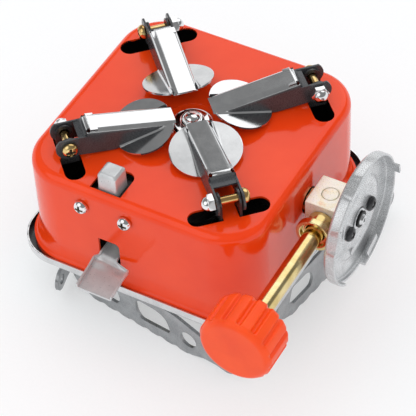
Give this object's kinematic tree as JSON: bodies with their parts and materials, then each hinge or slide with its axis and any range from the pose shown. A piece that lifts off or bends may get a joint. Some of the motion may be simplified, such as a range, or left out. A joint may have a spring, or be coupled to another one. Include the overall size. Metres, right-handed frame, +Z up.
{
  "type": "folding camp stove",
  "caption": "Compact folding camp stove with a square enamelled base, folded legs and pot supports, a side gas valve, a canister cup and an igniter lever.",
  "frame": {"origin": "middle of the bounding box at ground level, with the closed stove standing on its pot supports and its base upwards", "axes": "+Z up, out of the flat face of the red base; -Y towards the igniter side; +X towards the gas valve and the canister cup"},
  "size_m": [0.1168, 0.1196, 0.0722],
  "materials": {
    "red_enamel": "glossy orange-red enamel",
    "stainless": "bright rolled stainless steel",
    "polished_steel": "polished stainless steel",
    "satin_steel": "satin stamped steel",
    "chrome": "bright nickel plate",
    "yellow_zinc": "iridescent yellow zinc plate",
    "brass": "polished brass",
    "cast_alloy": "as-cast alloy",
    "red_plastic": "moulded orange-red plastic",
    "black_plastic": "moulded black plastic",
    "ceramic": "glazed ceramic",
    "rubber": "moulded rubber"
  },
  "bodies": {
    "base": {"base_shell": "red_enamel", "burner_tray": "stainless", "burner_body": "cast_alloy", "burner_cap": "brass", "burner_cap_screw": "stainless", "mixer_tube": "stainless", "jet_nipple": "brass", "centre_washer": "chrome", "centre_bolt": "chrome", "leg_bolt_back_right": "yellow_zinc", "leg_nut_back_right": "chrome", "leg_bracket_back_right": "yellow_zinc", "leg_bolt_back_left": "yellow_zinc", "leg_nut_back_left": "chrome", "leg_bracket_back_left": "yellow_zinc", "leg_bolt_front_left": "yellow_zinc", "leg_nut_front_left": "chrome", "leg_bracket_front_left": "yellow_zinc", "leg_bolt_front_right": "yellow_zinc", "leg_nut_front_right": "chrome", "leg_bracket_front_right": "yellow_zinc", "valve_block": "yellow_zinc", "valve_plug": "yellow_zinc", "packing_nut": "yellow_zinc", "adapter_cup": "satin_steel", "adapter_backing_plate": "stainless", "adapter_screw_1": "satin_steel", "adapter_screw_2": "satin_steel", "inlet_nozzle": "brass", "inlet_seal": "rubber", "igniter_bracket": "chrome", "igniter_screw_1": "chrome", "igniter_screw_2": "chrome", "igniter_body": "black_plastic", "electrode_insulator": "ceramic", "spark_electrode": "stainless", "igniter_lead": "rubber", "support_rivet_front": "stainless", "support_rivet_right": "stainless", "support_rivet_back": "stainless", "support_rivet_left": "stainless"},
    "leg_back_right": {"leg_back_right": "polished_steel"},
    "leg_back_left": {"leg_back_left": "polished_steel"},
    "leg_front_left": {"leg_front_left": "polished_steel"},
    "leg_front_right": {"leg_front_right": "polished_steel"},
    "support_front": {"pot_support_front": "satin_steel"},
    "support_right": {"pot_support_right": "satin_steel"},
    "support_back": {"pot_support_back": "satin_steel"},
    "support_left": {"pot_support_left": "satin_steel"},
    "valve_spindle": {"control_knob": "red_plastic", "valve_stem": "brass"},
    "igniter_lever": {"ignition_lever": "stainless", "igniter_plunger": "ceramic"}
  },
  "joints": [
    {"name": "leg_hinge_back_right", "type": "hinge", "parent": "base", "child": "leg_back_right", "pos_m": [0.02125, 0.0427, 0.0658], "axis": [-0.7071, 0.7071, 0], "range_deg": [0, 168]},
    {"name": "leg_hinge_back_left", "type": "hinge", "parent": "base", "child": "leg_back_left", "pos_m": [-0.04135, 0.0427, 0.0658], "axis": [-0.7071, -0.7071, 0], "range_deg": [-3, 165]},
    {"name": "leg_hinge_front_left", "type": "hinge", "parent": "base", "child": "leg_front_left", "pos_m": [-0.04135, -0.0199, 0.0658], "axis": [0.7071, -0.7071, 0], "range_deg": [0, 168]},
    {"name": "leg_hinge_front_right", "type": "hinge", "parent": "base", "child": "leg_front_right", "pos_m": [0.02125, -0.0199, 0.0658], "axis": [0.7071, 0.7071, 0], "range_deg": [0, 168]},
    {"name": "support_swing_front", "type": "hinge", "parent": "base", "child": "support_front", "pos_m": [-0.03705, -0.0236, 0.0164], "axis": [0, 0, -1], "range_deg": [-9.3, 69.7]},
    {"name": "support_swing_right", "type": "hinge", "parent": "base", "child": "support_right", "pos_m": [0.02975, -0.0124, 0.0164], "axis": [0, 0, -1], "range_deg": [-8.6, 81.4]},
    {"name": "support_swing_back", "type": "hinge", "parent": "base", "child": "support_back", "pos_m": [0.01695, 0.0464, 0.0164], "axis": [0, 0, -1], "range_deg": [-5, 85]},
    {"name": "support_swing_left", "type": "hinge", "parent": "base", "child": "support_left", "pos_m": [-0.04985, 0.0352, 0.0164], "axis": [0, 0, -1], "range_deg": [0, 100.8]},
    {"name": "valve_turn", "type": "hinge", "parent": "base", "child": "valve_spindle", "pos_m": [0.04375, -0.0526, 0.0426], "axis": [0, -1, 0], "range_deg": [0, 540]},
    {"name": "igniter_press", "type": "slide", "parent": "base", "child": "igniter_lever", "axis": [0, 0, 1], "range_m": [0, 0.004], "stiffness_N_per_m": 2000, "springref_m": -0.001}
  ]
}
